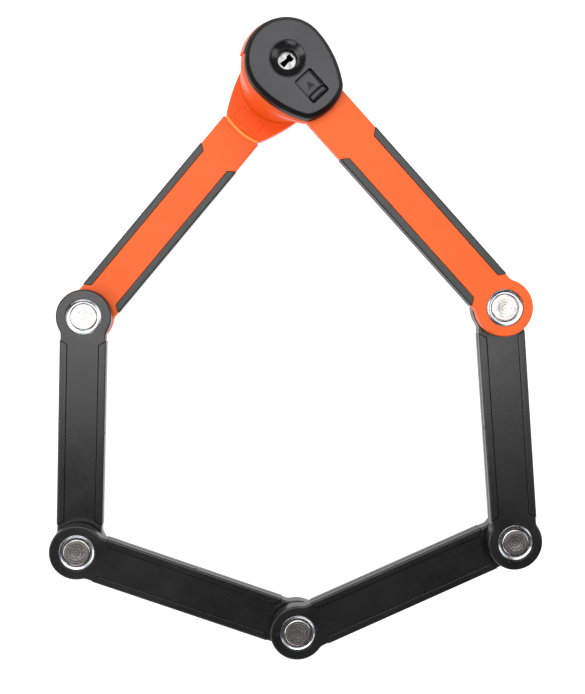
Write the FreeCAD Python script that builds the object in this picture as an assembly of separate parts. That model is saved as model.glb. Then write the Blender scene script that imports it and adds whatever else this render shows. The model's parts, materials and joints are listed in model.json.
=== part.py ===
import FreeCAD, Part
import math
import os

# Folding bike lock: six jacketed steel links, five rivets and a key-operated lock head.
#
# Frame: millimetres, +Z up. The loop lies flat, open as a hexagon with the lock head at +Y.
# The origin is at the middle of the whole object's footprint, at the height of its base.
#
# The links are stacked like a winding stair. Link 0 carries the collar that the lock head
# closes on, links 1 to 4 are the plain ones, and link 5 carries the lock head, whose column
# reaches down past links 4 to 1 to the collar. Every link is drawn along +X in its own
# frame, with its first pivot at the origin, and is then turned and moved into place.

Vector = FreeCAD.Vector

# ---- driving dimensions -------------------------------------------------------------

LINK_PITCH = 128.0      # plain link, pivot to pivot
END_PITCH = 169.0       # end link, lock axis to pivot
LAYER = 9.0             # height from one link to the next
LINK_T = 7.8            # thickness of a jacketed link
HEADINGS = (230.2, 268.3, 339.8, 23.3)   # directions of links 0 to 3, in degrees
LAST = 5                # number of the last link, the one with the lock head

# plastic jacket and its side strips
EYE_R = 15.0            # round end of a link
NECK_HALF = 12.2        # half width of a link between its ends
NECK_BLEND = 5.0        # concave radius where an eye runs into the neck
EDGE = 0.9              # bevel along the edges of a link
STRIP_OUT = 12.6        # distance of a strip's outer face from the middle line
STRIP_IN = 8.6          # distance of a strip's inner edge from the middle line
STRIP_OUTER = 12.8      # from a pivot to the end of a strip's outer edge
STRIP_INNER = 15.4      # from a pivot to the end of a strip's inner edge
END_STRIP_OUTER = 53.9  # the same from the lock axis, on an end link
END_STRIP_INNER = 56.9
SEAM_W = 0.5            # groove round a strip
SEAM_D = 0.35
RIB_GROOVE = 0.35       # V groove along the middle of a strip's outer face
GATE_R = 0.8            # moulding gate mark on a strip
GATE_H = 0.25
GATE_Z = 5.9

# steel core of a link
CORE_Z = 1.8            # from the link's underside to its core
CORE_T = 4.2
CORE_HALF = 6.8
CORE_EYE_R = 11.6
RING_CORE_R = 18.5      # first eye of an end link's core, round the lock axis
RING_CLEAR = 0.2        # between that eye and what passes through it
RECESS_R = 9.8          # counterbore round a rivet, down to the core

# rivets and what is on them
SHANK_R = 5.0
RUN_CLEAR = 0.06        # radial clearance of a turning fit
FACE_CLEAR = 0.05       # clearance between faces that slide on each other
HEAD_R = 7.2
HEAD_BEVEL = 0.25
HEAD_SUNK = 0.1         # rivet head below the link's face
WASHER_R = 9.5
WASHER_T = 0.9
WASHER_RIM = 0.45       # raised rim of the dished washer
WASHER_RIM_W = 0.3
WASHER_DISH_R = 8.2
SPACER_R = 9.4

# lock head, measured from the lock axis along link 5
CAP_TOP = 61.8
CAP_SHOULDER = 59.4     # where the bevelled edge of the cap ends
CAP_BASE = 53.6
WAIST_Z = 50.5          # where the housing's sloped shoulder ends
CAP_R = (21.4, 21.0, 19.2)          # at base, shoulder and top
CAP_CORNER = ((29.0, 12.2), (28.75, 12.0), (27.0, 10.6))
CAP_TIP = (32.2, 31.95, 30.2)
COLUMN_TOP_R = 22.9
COLUMN_FOOT_R = 22.6
COLUMN_FOOT_Z = 10.9
HOUSING_BORE_R = 20.0
FIT_CLEAR = 0.05        # round a part that is fitted and stays put
PAD_R = (23.9, 22.3)    # thickened back of the head, at its foot and its top
PAD_HALF_ANGLE = 37.0
PAD_Z = (46.5, 56.6)
CAP_PAD_R = (22.2, 21.7)

# lock cylinder, plug and bolt, on the lock axis
PLUG_R = 4.8
PLUG_FACE_Z = 56.2
SHELL_R = 8.8
SHELL_FOOT_Z = 33.2
TAIL_R = 4.2
TAIL_FOOT_Z = 21.0
KEYWAY_W = 2.3
KEYWAY_L = 6.6
KEYWAY_LOBE = 0.9
PIN_R = 1.0
PIN_PITCH = 2.6
PIN_COUNT = 5
FIRST_PIN_Z = 34.9
PIN_ARM_HALF = 2.6
PIN_ARM_END = 16.8
PIN_ARM_OVER = 1.4      # how far the arm goes past the last pin
KEY_PIN_START = 1.3
DRIVER_END = 9.5
SPRING_END = 15.6
SPRING_WIRE = 0.16      # radius of the wire
SPRING_TURNS = 4
CLIP_R = 6.2
CLIP_T = 0.8
CASE_R = 19.9
FOOT_T = 1.5
FOOT_CLEAR = 0.3
BOLT_R = 6.4
BOLT_SLIDE_CLEAR = 0.08
BOLT_FOOT_Z = 11.4
BOLT_STROKE = 7.0
BOLT_BEVEL = 0.8
SLEEVE_Z = (20.4, 32.0)
SLEEVE_BORE_R = 4.6
DRIVE_PIN_R = 1.2
DRIVE_PIN_Z = 22.6
SLOT_CLEAR = 0.2        # round a pin in its slot
SLOT_STEPS = 14
TURN = 90.0             # key turn that throws the bolt
GUIDE_Z = 15.5
GUIDE_DEPTH = 1.3
GUIDE_ANGLE = 225.0

# keyhole and its sliding cover
BEZEL_R = 9.2
BEZEL_HOLE_R = 4.9
BEZEL_TOP = 61.7
BEZEL_LIP = 0.5
BEZEL_HOLLOW = (6.9, 0.75)   # radius and height of the lowest part of its curve
BEZEL_MOUTH = 0.25
TRACK_Z = (58.05, 59.4)
TRACK_X = (-4.2, 25.4)
TRACK_HALF = 6.2
SLOT_X = (10.7, 25.0)
SLOT_HALF = 5.35
SLOT_CORNER = 1.0
COVER_X = (5.7, 24.7)
COVER_Z = (58.2, 59.2)
COVER_HALF = 5.9
GRIP_X = (20.3, 24.7)
GRIP_HALF = 4.9
GRIP_SIDE = 1.0         # height of the grip's upright sides
GRIP_BOW = (0.9, 0.5)   # bow of its front and hollow of its back
GRIP_TOP = 61.6
ARROW = ((14.4, 0.0), (18.2, 2.1), (18.2, -2.1))
ARROW_D = 0.2
LEAF_X = (9.6, 20.4)    # leaf spring under the track
LEAF_HALF = 1.2
LEAF_T = 0.3
LEAF_CLEAR = 0.1

# collar on link 0, measured from the lock axis along link 0
COLLAR_R = 23.1
COLLAR_BASE_T = 1.2
COLLAR_TOP = 8.4
COLLAR_MID = (22.6, 16.6)
COLLAR_CORNER_Y = 12.0
COLLAR_LEAVES = 62.0    # angle where its outline leaves the circle
COLLAR_END_R = 34.8
COLLAR_EDGE = 0.5
JACKET_END_R = 36.6
SEAT_R = 22.6
SEAT_TOP = 10.5
SEAT_BLEND = 1.7
SEAT_RAMP = 0.8
SEAT_EDGE = 0.3
PANEL_X = (24.0, 31.8)
PANEL_HALF = 7.7
PANEL_H = 0.2
PANEL_EDGE = 0.18
INSERT_Z = (0.6, 6.7)
INSERT_HALF = 11.4
BASE_INSET = 0.35
DRAIN_R = 3.0
STRIKE_R = 11.0
STRIKE_BORE_R = 7.0
SCREW_R = 1.3
SCREW_HEAD_R = 2.2
SCREW_HEAD_T = 1.0
SCREW_SOCKET_R = 1.1
SCREW_SOCKET_D = 0.6
BASE_SCREW_AT = 20.0
BASE_SCREW_ANGLES = (90, 180, 270)
BASE_SCREW_Z = (0.15, 6.5)
CAP_SCREW_AT = (22.0, 10.6)
CAP_SCREW_Z = (45.2, 57.4)


# ---- plain shapes -------------------------------------------------------------------

def at(x, y, z=0.0):
    return Vector(x, y, z)


def polar(radius, degrees):
    angle = math.radians(degrees)
    return at(radius * math.cos(angle), radius * math.sin(angle))


def segment(a, b):
    return Part.LineSegment(a, b).toShape()


def bow(a, through, b):
    return Part.Arc(a, through, b).toShape()


def disc(radius, low, high, x=0.0, y=0.0):
    return Part.makeCylinder(radius, high - low, at(x, y, low))


def hoop(outer, inner, low, high):
    return disc(outer, low, high).cut(disc(inner, low - 1, high + 1))


def block(x_range, half_width, z_range):
    corner = at(x_range[0], -half_width, z_range[0])
    return Part.makeBox(x_range[1] - x_range[0], 2 * half_width, z_range[1] - z_range[0], corner)


def polygon(points):
    return Part.makePolygon([at(*p) for p in points] + [at(*points[0])])


def extrude(wire, low, high):
    face = Part.Face(wire)
    face.translate(at(0, 0, low))
    return face.extrude(at(0, 0, high - low))


def loft(wires_and_heights):
    wires = []
    for wire, height in wires_and_heights:
        wire = wire.copy()
        wire.translate(at(0, 0, height))
        wires.append(wire)
    return Part.makeLoft(wires, True, True)


def turned(profile):
    """Solid of revolution about Z from (radius, height) points."""
    face = Part.Face(Part.makePolygon([at(r, 0, z) for r, z in profile + profile[:1]]))
    return face.revolve(at(0, 0), at(0, 0, 1), 360)


def radial_rod(radius, start, end, height, degrees):
    """Round rod that points away from the Z axis."""
    direction = polar(1, degrees)
    return Part.makeCylinder(radius, end - start, direction * start + at(0, 0, height), direction)


def bevel_flats(solid, size, low, high):
    """Bevel every edge that lies wholly at the low or at the high level."""
    def flat(edge):
        box = edge.BoundBox
        level = abs(box.ZMin - low) < 1e-4 or abs(box.ZMin - high) < 1e-4
        return level and box.ZLength < 1e-4
    return solid.makeChamfer(size, [edge for edge in solid.Edges if flat(edge)])


def bevel_top(solid, size, top):
    return bevel_flats(solid, size, top, top)


def joined(first, *others):
    return first.multiFuse(list(others)).removeSplitter()


# ---- the loop: where each link lies -------------------------------------------------

def circle_crossing(centre_a, radius_a, centre_b, radius_b):
    """The crossing of two circles that lies to the right of the way from a to b."""
    way = centre_b - centre_a
    gap = way.Length
    along = (radius_a ** 2 - radius_b ** 2 + gap ** 2) / (2 * gap)
    aside = math.sqrt(radius_a ** 2 - along ** 2)
    way.normalize()
    return centre_a + way * along + at(way.y, -way.x) * aside


def heading(a, b):
    return math.degrees(math.atan2(b.y - a.y, b.x - a.x)) % 360


def loop():
    """Pivots 0 to 5, with pivot 0 on the lock axis, and the heading of every link."""
    pivots = [at(0, 0)]
    for length, angle in zip([END_PITCH] + [LINK_PITCH] * 3, HEADINGS):
        pivots.append(pivots[-1] + polar(length, angle))
    pivots.append(circle_crossing(pivots[4], LINK_PITCH, pivots[0], END_PITCH))
    ends = pivots[1:] + [pivots[0]]
    return pivots, [heading(a, b) for a, b in zip(pivots, ends)]


PIVOTS, LINK_HEADINGS = loop()
HEAD_HEADING = LINK_HEADINGS[LAST] + 180


def placed(shape, origin, angle, height=0.0):
    shape = shape.copy()
    shape.rotate(at(0, 0), at(0, 0, 1), angle)
    shape.translate(origin + at(0, 0, height))
    return shape


def in_head(shape, height=0.0):
    """Place a shape drawn on the lock axis with +X along link 5."""
    return placed(shape, PIVOTS[0], HEAD_HEADING, height)


def in_link(shape, number):
    """Place a shape drawn in a link's own frame; link 5 is drawn from the lock axis."""
    if number == LAST:
        return in_head(shape, LAST * LAYER)
    return placed(shape, PIVOTS[number], LINK_HEADINGS[number], number * LAYER)


# ---- links --------------------------------------------------------------------------

def link_outline(length, both_ends):
    """Bar with a round eye at x = length and, if asked, a second one at x = 0."""
    reach = EYE_R + NECK_BLEND
    centre_y = NECK_HALF + NECK_BLEND
    centre = at(math.sqrt(reach ** 2 - centre_y ** 2), centre_y)
    foot = at(centre.x, NECK_HALF)
    touch = centre * (EYE_R / reach)
    bend_way = centre * (-1 / reach) + at(0, -1)
    bend_way.normalize()
    bend = centre + bend_way * NECK_BLEND

    def far(p, side):
        return at(length - p.x, side * p.y)

    def near(p, side):
        return at(p.x, side * p.y)

    edges = [bow(far(touch, 1), at(length + EYE_R, 0), far(touch, -1))]
    for side in (1, -1):
        edges.append(bow(far(foot, side), far(bend, side), far(touch, side)))
        start = near(foot, side) if both_ends else at(0, side * NECK_HALF)
        edges.append(segment(start, far(foot, side)))
    if both_ends:
        edges.append(bow(near(touch, 1), at(-EYE_R, 0), near(touch, -1)))
        for side in (1, -1):
            edges.append(bow(near(foot, side), near(bend, side), near(touch, side)))
    else:
        edges.append(segment(at(0, NECK_HALF), at(0, -NECK_HALF)))
    return Part.Wire(Part.__sortEdges__(edges))


def strip_plan(side, start, end, grow=0.0):
    """Plan of a side strip: a long trapezium whose slanted ends run outwards."""
    rise = STRIP_OUT - STRIP_IN
    points = []
    for y in (STRIP_IN - grow, STRIP_OUT + 2):
        slide = (y - STRIP_IN) / rise
        points.append((start[1] + (start[0] - start[1]) * slide - grow, y))
        points.append((end[1] + (end[0] - end[1]) * slide + grow, y))
    order = (points[0], points[1], points[3], points[2])
    return polygon([(x, side * y) for x, y in order])


def strip_bar(side, start, end):
    """Full-height bar with bevelled outer edges and a V groove along its outer face."""
    middle = LINK_T / 2
    section = [
        (STRIP_IN, 0), (STRIP_OUT - EDGE, 0), (STRIP_OUT, EDGE), (STRIP_OUT, middle - RIB_GROOVE),
        (STRIP_OUT - RIB_GROOVE, middle), (STRIP_OUT, middle + RIB_GROOVE),
        (STRIP_OUT, LINK_T - EDGE), (STRIP_OUT - EDGE, LINK_T), (STRIP_IN, LINK_T),
    ]
    wire = Part.makePolygon([at(start[0] - 1, side * y, z) for y, z in section + section[:1]])
    bar = Part.Face(wire).extrude(at(end[0] - start[0] + 2, 0, 0))
    gate_foot = at((start[0] + end[0]) / 2, side * (STRIP_OUT - 1), GATE_Z)
    gate = Part.makeCylinder(GATE_R, GATE_H + 1, gate_foot, at(0, side, 0))
    return joined(bar, gate)


def seams(side, start, end):
    """Shallow groove round a strip, on both faces of the link."""
    grooves = []
    for low, high in ((-1, SEAM_D), (LINK_T - SEAM_D, LINK_T + 1)):
        wide = extrude(strip_plan(side, start, end, SEAM_W / 2), low, high)
        narrow = extrude(strip_plan(side, start, end, -SEAM_W / 2), low, high)
        grooves.append(wide.cut(narrow))
    return grooves


def core_blank(length, first_eye):
    """Steel bar with an eye round the first pivot and round the next one, before its holes."""
    low, high = CORE_Z, CORE_Z + CORE_T
    bar = block((0, length), CORE_HALF, (low, high))
    return joined(bar, disc(first_eye, low, high), disc(CORE_EYE_R, low, high, length))


def rivet_recesses(x):
    """Counterbores down to the core, on both faces of the link."""
    return [disc(RECESS_R, CORE_Z + CORE_T, LINK_T + 1, x), disc(RECESS_R, -1, CORE_Z, x)]


def make_link(number):
    """Core, jacket and side strips of one link, in the link's own frame."""
    end_link = number in (0, LAST)
    length = END_PITCH if end_link else LINK_PITCH
    blank = core_blank(length, RING_CORE_R if end_link else CORE_EYE_R)
    first_hole = {0: STRIKE_BORE_R + RING_CLEAR, LAST: SHELL_R + FIT_CLEAR}.get(number, SHANK_R)
    last_hole = SHANK_R if number == LAST else SHANK_R + RUN_CLEAR
    core = blank.cut([disc(first_hole, 0, LINK_T), disc(last_hole, 0, LINK_T, length)])

    jacket = extrude(link_outline(length, not end_link), 0, LINK_T)
    if number == 0:
        jacket = jacket.cut(disc(JACKET_END_R, -1, LINK_T + 1))
    if number == LAST:
        head = teardrop(COLUMN_TOP_R, CAP_CORNER[0], CAP_TIP[0])
        jacket = jacket.cut(extrude(head, -1, LINK_T + 1))
    jacket = bevel_flats(jacket, EDGE, 0, LINK_T)
    cuts = [blank] + rivet_recesses(length)
    if not end_link:
        cuts += rivet_recesses(0)

    start = (END_STRIP_OUTER, END_STRIP_INNER) if end_link else (STRIP_OUTER, STRIP_INNER)
    end = (length - STRIP_OUTER, length - STRIP_INNER)
    strips = []
    for side in (1, -1):
        plan = extrude(strip_plan(side, start, end), -1, LINK_T + 1)
        grooves = seams(side, start, end)
        cuts += [plan] + grooves
        strip = strip_bar(side, start, end).common(plan).cut(grooves)
        strips += strip.Solids
    return core, jacket.cut(cuts), Part.makeCompound(strips)


# ---- rivets -------------------------------------------------------------------------

def rivet_heights():
    """Levels round a pivot, from the underside of the lower of its two links."""
    lower_core = CORE_Z
    upper_core = LAYER + CORE_Z + CORE_T
    return lower_core, upper_core


def make_rivet():
    """Shank and two flat heads that clamp a lower and an upper link."""
    lower_core, upper_core = rivet_heights()
    foot = HEAD_SUNK
    under = lower_core - FACE_CLEAR - WASHER_T
    over = upper_core + WASHER_T
    top = LAYER + LINK_T - HEAD_SUNK
    return turned([
        (0, foot), (HEAD_R - HEAD_BEVEL, foot), (HEAD_R, foot + HEAD_BEVEL), (HEAD_R, under),
        (SHANK_R, under), (SHANK_R, over), (HEAD_R, over), (HEAD_R, top - HEAD_BEVEL),
        (HEAD_R - HEAD_BEVEL, top), (0, top),
    ])


def make_washers():
    """Dished washers under the two heads of a rivet."""
    lower_core, upper_core = rivet_heights()
    profile = [
        (SHANK_R, 0), (WASHER_R, 0), (WASHER_R, WASHER_T + WASHER_RIM),
        (WASHER_R - WASHER_RIM_W, WASHER_T + WASHER_RIM), (WASHER_DISH_R, WASHER_T), (SHANK_R, WASHER_T),
    ]
    upper = turned([(r, upper_core + z) for r, z in profile])
    lower = turned([(r, lower_core - FACE_CLEAR - z) for r, z in profile])
    return Part.makeCompound([upper, lower])


def make_spacer():
    """Thick washer that keeps two links one layer apart; it stays with the lower link."""
    low = CORE_Z + CORE_T
    high = LAYER + CORE_Z - FACE_CLEAR
    return hoop(SPACER_R, SHANK_R + RUN_CLEAR, low, high)


# ---- lock head ----------------------------------------------------------------------

def teardrop(radius, corner, tip):
    """Half circle on the lock axis; two bowed sides run on from it to a bowed tail end."""
    drop = radius - corner[1]
    side_r = (corner[0] ** 2 + drop ** 2) / (2 * drop)
    half_turn = math.asin(corner[0] / side_r) / 2
    middle = (side_r * math.sin(half_turn), radius - side_r * (1 - math.cos(half_turn)))

    def both(x, y):
        return at(x, y), at(x, -y)

    up, down = both(0, radius)
    side_up, side_down = both(*middle)
    corner_up, corner_down = both(*corner)
    return Part.Wire([
        bow(up, at(-radius, 0), down), bow(down, side_down, corner_down),
        bow(corner_down, at(tip, 0), corner_up), bow(corner_up, side_up, up),
    ])


def back_pad(radii, low, high):
    """Thickened stretch round the back of the head, which leans in towards its top."""
    corners = [polar(radii[0] + 20, 180 + angle) for angle in (-PAD_HALF_ANGLE, PAD_HALF_ANGLE)]
    wedge = Part.makePolygon([at(0, 0), corners[0], corners[1], at(0, 0)])
    return Part.makeCone(*radii, high - low, at(0, 0, low)).common(extrude(wedge, low, high))


def make_housing(core, screws):
    """Column, sloped shoulder and tail of the head, bored for the steel case."""
    waist = teardrop(COLUMN_TOP_R, CAP_CORNER[0], CAP_TIP[0])
    rim = teardrop(CAP_R[0], CAP_CORNER[0], CAP_TIP[0])
    column = Part.makeCone(COLUMN_FOOT_R, COLUMN_TOP_R, WAIST_Z - COLUMN_FOOT_Z, at(0, 0, COLUMN_FOOT_Z))
    tail = extrude(waist, 5 * LAYER, WAIST_Z)
    shoulder = loft([(waist, WAIST_Z), (rim, CAP_BASE)])
    housing = joined(column, tail, shoulder, back_pad(PAD_R, PAD_Z[0], CAP_BASE))
    return housing.cut([disc(HOUSING_BORE_R, COLUMN_FOOT_Z - 1, CAP_BASE + 1), core] + screws)


def make_cap(screws):
    """Black cap with the keyhole's recess, the slot and the track of the sliding cover."""
    outlines = [teardrop(r, corner, tip) for r, corner, tip in zip(CAP_R, CAP_CORNER, CAP_TIP)]
    skirt = loft([(outlines[0], CAP_BASE), (outlines[1], CAP_SHOULDER)])
    crown = loft([(outlines[1], CAP_SHOULDER), (outlines[2], CAP_TOP)])
    cap = joined(skirt, crown, back_pad(CAP_PAD_R, CAP_BASE, PAD_Z[1]))
    slot = block(SLOT_X, SLOT_HALF, (TRACK_Z[1] - 0.1, CAP_TOP + 1))
    upright = [e for e in slot.Edges if e.BoundBox.ZLength > 1]
    slot = slot.makeFillet(SLOT_CORNER, upright)
    return cap.cut([
        slot,
        block(TRACK_X, TRACK_HALF, TRACK_Z),
        disc(BEZEL_R, TRACK_Z[1] - 0.1, CAP_TOP + 1),
        disc(BEZEL_HOLE_R, CAP_BASE - 1, TRACK_Z[0] + 0.1),
        disc(SHELL_R + FIT_CLEAR, CAP_BASE - 1, PLUG_FACE_Z),
    ] + screws)


def make_bezel():
    """Concave ring round the keyhole."""
    low = TRACK_Z[1] + FIT_CLEAR
    inner_low = at(BEZEL_HOLE_R, 0, low)
    outer_low = at(BEZEL_R, 0, low)
    outer_high = at(BEZEL_R, 0, BEZEL_TOP)
    lip = at(BEZEL_R - BEZEL_LIP, 0, BEZEL_TOP)
    hollow = at(BEZEL_HOLLOW[0], 0, low + BEZEL_HOLLOW[1])
    mouth = at(BEZEL_HOLE_R, 0, low + BEZEL_MOUTH)
    wire = Part.Wire([
        segment(inner_low, outer_low), segment(outer_low, outer_high), segment(outer_high, lip),
        bow(lip, hollow, mouth), segment(mouth, inner_low),
    ])
    return Part.Face(wire).revolve(at(0, 0), at(0, 0, 1), 360)


def make_cover():
    """Sliding plate with a pointer sunk in it; it runs under the cap's top."""
    plate = block(COVER_X, COVER_HALF, COVER_Z)
    return plate.cut(extrude(polygon(ARROW), COVER_Z[1] - ARROW_D, COVER_Z[1] + 1))


def make_grip():
    """Barrel-backed ridge that a thumb pushes, with a bowed front."""
    front_x, back_x = GRIP_X
    low = COVER_Z[1]
    side_z = low + GRIP_SIDE
    corners = [at(x, -GRIP_HALF, z) for x, z in
               ((front_x, side_z), (front_x, low), (back_x, low), (back_x, side_z))]
    crown = at((front_x + back_x) / 2, -GRIP_HALF, GRIP_TOP)
    edges = [segment(a, b) for a, b in zip(corners, corners[1:])]
    section = Part.Wire(edges + [bow(corners[3], crown, corners[0])])
    ridge = Part.Face(section).extrude(at(0, 2 * GRIP_HALF, 0))

    shoulder_x = front_x + GRIP_BOW[0]
    plan = Part.Wire([
        bow(at(shoulder_x, GRIP_HALF), at(front_x, 0), at(shoulder_x, -GRIP_HALF)),
        segment(at(shoulder_x, -GRIP_HALF), at(back_x, -GRIP_HALF)),
        bow(at(back_x, -GRIP_HALF), at(back_x - GRIP_BOW[1], 0), at(back_x, GRIP_HALF)),
        segment(at(back_x, GRIP_HALF), at(shoulder_x, GRIP_HALF)),
    ])
    return ridge.common(extrude(plan, low - 1, GRIP_TOP + 1))


def leaf_block(grow):
    """Leaf spring under the track, or with some growth the pocket that it lies in."""
    top = TRACK_Z[0] - FIT_CLEAR + min(grow, FIT_CLEAR)
    x_range = (LEAF_X[0] - grow, LEAF_X[1] + grow)
    return block(x_range, LEAF_HALF + grow, (TRACK_Z[0] - FIT_CLEAR - LEAF_T - grow / 2, top))


def pin_heights():
    return [FIRST_PIN_Z + i * PIN_PITCH for i in range(PIN_COUNT)]


def radial_set(radius, start, end):
    return [radial_rod(radius, start, end, z, 180) for z in pin_heights()]


def make_plug():
    """Turning plug with a keyway, pin holes and a tail that the drive pin goes through."""
    barrel = disc(PLUG_R, SHELL_FOOT_Z, PLUG_FACE_Z)
    plug = joined(barrel, disc(TAIL_R, TAIL_FOOT_Z, SHELL_FOOT_Z))
    low = SHELL_FOOT_Z + 1
    keyway = block((-KEYWAY_W / 2, KEYWAY_W / 2), KEYWAY_L / 2, (low, CAP_TOP))
    lobe_r = KEYWAY_LOBE + KEYWAY_W / 2
    lobe_y = KEYWAY_L / 2 - lobe_r / 2
    lobes = [disc(lobe_r, low, CAP_TOP, 0, y) for y in (lobe_y, -lobe_y)]
    drive = radial_rod(DRIVE_PIN_R, -TAIL_R - 1, TAIL_R + 1, DRIVE_PIN_Z, 0)
    return plug.cut([keyway, drive] + lobes + radial_set(PIN_R, 0, PLUG_R + 1))


def shell_blank():
    """Fixed cylinder and its pin arm, before its bore and pin holes."""
    top = pin_heights()[-1] + PIN_ARM_OVER
    arm = block((-PIN_ARM_END, 0), PIN_ARM_HALF, (SHELL_FOOT_Z, top))
    return joined(disc(SHELL_R, SHELL_FOOT_Z, PLUG_FACE_Z), arm)


def make_shell():
    """Fixed cylinder with an arm that holds the driver pins and their springs."""
    bore = disc(PLUG_R + RUN_CLEAR, SHELL_FOOT_Z - 1, PLUG_FACE_Z + 1)
    return shell_blank().cut([bore] + radial_set(PIN_R, PLUG_R, PIN_ARM_END - 1))


def make_pin_springs():
    """Small compression springs behind the driver pins."""
    springs = []
    coil_r = PIN_R - SPRING_WIRE - 0.04
    length = SPRING_END - DRIVER_END - 2 * SPRING_WIRE
    for height in pin_heights():
        helix = Part.makeHelix(length / SPRING_TURNS, length, coil_r)
        wire = Part.Wire(helix.Edges)
        ring = Part.Wire(Part.makeCircle(SPRING_WIRE, at(coil_r, 0, 0), at(0, 1, 0)))
        coil = wire.makePipeShell([ring], True, True)
        coil.rotate(at(0, 0), at(0, 1, 0), -90)
        coil.translate(at(-DRIVER_END - SPRING_WIRE, 0, height))
        springs.append(coil)
    return Part.makeCompound(springs)


def helical_slot():
    """Path of the drive pin through the bolt's sleeve, as overlapping round holes."""
    holes = []
    for i in range(SLOT_STEPS + 1):
        part = i / SLOT_STEPS
        height = DRIVE_PIN_Z + BOLT_STROKE * part
        holes.append(radial_rod(DRIVE_PIN_R + SLOT_CLEAR, 0, BOLT_R + 1, height, TURN * part))
    return holes


def make_bolt():
    """Solid nose, a groove for the guide pin, and a sleeve with a helical slot."""
    bolt = disc(BOLT_R, BOLT_FOOT_Z, SLEEVE_Z[1])
    nose = [e for e in bolt.Edges if abs(e.BoundBox.ZMax - BOLT_FOOT_Z) < 1e-4]
    bolt = bolt.makeChamfer(BOLT_BEVEL, nose)
    reach = DRIVE_PIN_R + SLOT_CLEAR
    groove = block((BOLT_R - GUIDE_DEPTH, BOLT_R + 1), DRIVE_PIN_R + SLOT_CLEAR / 2,
                   (GUIDE_Z - reach, GUIDE_Z + BOLT_STROKE + reach))
    groove.rotate(at(0, 0), at(0, 0, 1), GUIDE_ANGLE)
    return bolt.cut([disc(SLEEVE_BORE_R, SLEEVE_Z[0], SLEEVE_Z[1] + 1), groove] + helical_slot())


def make_case(guide):
    """Hardened block in the column that carries the cylinder and guides the bolt."""
    low = COLUMN_FOOT_Z + FOOT_T + FIT_CLEAR
    high = LAST * LAYER + CORE_Z - FIT_CLEAR
    bore = disc(BOLT_R + BOLT_SLIDE_CLEAR, low - 1, SHELL_FOOT_Z + 1)
    return disc(CASE_R, low, high).cut([bore, shell_blank(), guide])


def make_screw(x, y, z_range):
    """Socket screw with its head at the low end."""
    low, high = z_range
    shank = disc(SCREW_R, low, high, x, y)
    head = disc(SCREW_HEAD_R, low, low + SCREW_HEAD_T, x, y)
    corners = [at(x, y) + polar(SCREW_SOCKET_R, 60 * i) for i in range(6)]
    socket = extrude(polygon(corners), low - 1, low + SCREW_SOCKET_D)
    return joined(shank, head).cut(socket)


# ---- collar -------------------------------------------------------------------------

def collar_outline(inset=0.0):
    """Round on the lock axis, drawn in towards link 0 and ended by a bow about the axis."""
    corner_y = COLLAR_CORNER_Y - inset
    end_r = COLLAR_END_R - inset
    corner = at(math.sqrt(end_r ** 2 - corner_y ** 2), corner_y)
    leave = polar(COLLAR_R - inset, COLLAR_LEAVES)
    middle = at(COLLAR_MID[0], COLLAR_MID[1] - inset)

    def below(p):
        return at(p.x, -p.y)

    return Part.Wire([
        bow(leave, at(-COLLAR_R + inset, 0), below(leave)),
        bow(below(leave), below(middle), below(corner)),
        bow(below(corner), at(end_r, 0), corner),
        bow(corner, middle, leave),
    ])


def make_collar(core_space, screws):
    """Orange shell with the raised seat that the lock head's column closes on."""
    shell = extrude(collar_outline(), COLLAR_BASE_T, COLLAR_TOP)
    shell = bevel_top(shell, COLLAR_EDGE, COLLAR_TOP)
    foot_r = SEAT_R + SEAT_BLEND
    seat = turned([
        (0, COLLAR_TOP - 1), (foot_r, COLLAR_TOP - 1), (foot_r, COLLAR_TOP),
        (SEAT_R, COLLAR_TOP + SEAT_RAMP), (SEAT_R, SEAT_TOP - SEAT_EDGE),
        (SEAT_R - SEAT_EDGE, SEAT_TOP), (0, SEAT_TOP),
    ])
    seat = seat.common(extrude(collar_outline(COLLAR_EDGE), 0, SEAT_TOP + 1))
    panel_top = COLLAR_TOP + PANEL_H
    panel = bevel_top(block(PANEL_X, PANEL_HALF, (COLLAR_TOP - 1, panel_top)), PANEL_EDGE, panel_top)
    panel = panel.common(extrude(collar_outline(2 * COLLAR_EDGE), 0, panel_top + 1))
    shell = joined(shell, seat, panel)
    return shell.cut([core_space, disc(STRIKE_R, CORE_Z, SEAT_TOP + 1)] + screws)


def make_neck(core_space):
    """Insert that shows in the curved gap between the collar and the jacket of link 0."""
    ring = hoop(JACKET_END_R, COLLAR_END_R, *INSERT_Z)
    return ring.common(block((0, JACKET_END_R + 1), INSERT_HALF, (0, LINK_T))).cut(core_space)


# ---- making and writing -------------------------------------------------------------

def make_links():
    nodes = {}
    names = ["end_link_a", "link_1", "link_2", "link_3", "link_4", "end_link_b"]
    for number, name in enumerate(names):
        for kind, shape in zip(("core", "jacket", "strips"), make_link(number)):
            nodes[f"{name}_{kind}"] = in_link(shape, number)
    return nodes


def make_pivots():
    nodes = {}
    kinds = {"rivet": make_rivet(), "washers": make_washers(), "spacer": make_spacer()}
    for number in range(1, LAST + 1):
        lower = number - 1
        for kind, shape in kinds.items():
            nodes[f"{kind}_{number}"] = placed(shape, PIVOTS[number], LINK_HEADINGS[lower], lower * LAYER)
    return nodes


def make_collar_parts(core_space):
    screws = []
    for angle in BASE_SCREW_ANGLES:
        place = polar(BASE_SCREW_AT, angle)
        screws.append(make_screw(place.x, place.y, BASE_SCREW_Z))
    drain = disc(DRAIN_R, -1, COLLAR_BASE_T + 1)
    shapes = {
        "collar_shell": make_collar(core_space, screws),
        "collar_base": extrude(collar_outline(BASE_INSET), 0, COLLAR_BASE_T).cut([drain] + screws),
        "collar_screws": Part.makeCompound(screws),
        "strike_ring": hoop(STRIKE_R, STRIKE_BORE_R, CORE_Z + CORE_T, SEAT_TOP),
        "neck_insert": make_neck(core_space),
    }
    return {name: in_link(shape, 0) for name, shape in shapes.items()}


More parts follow.
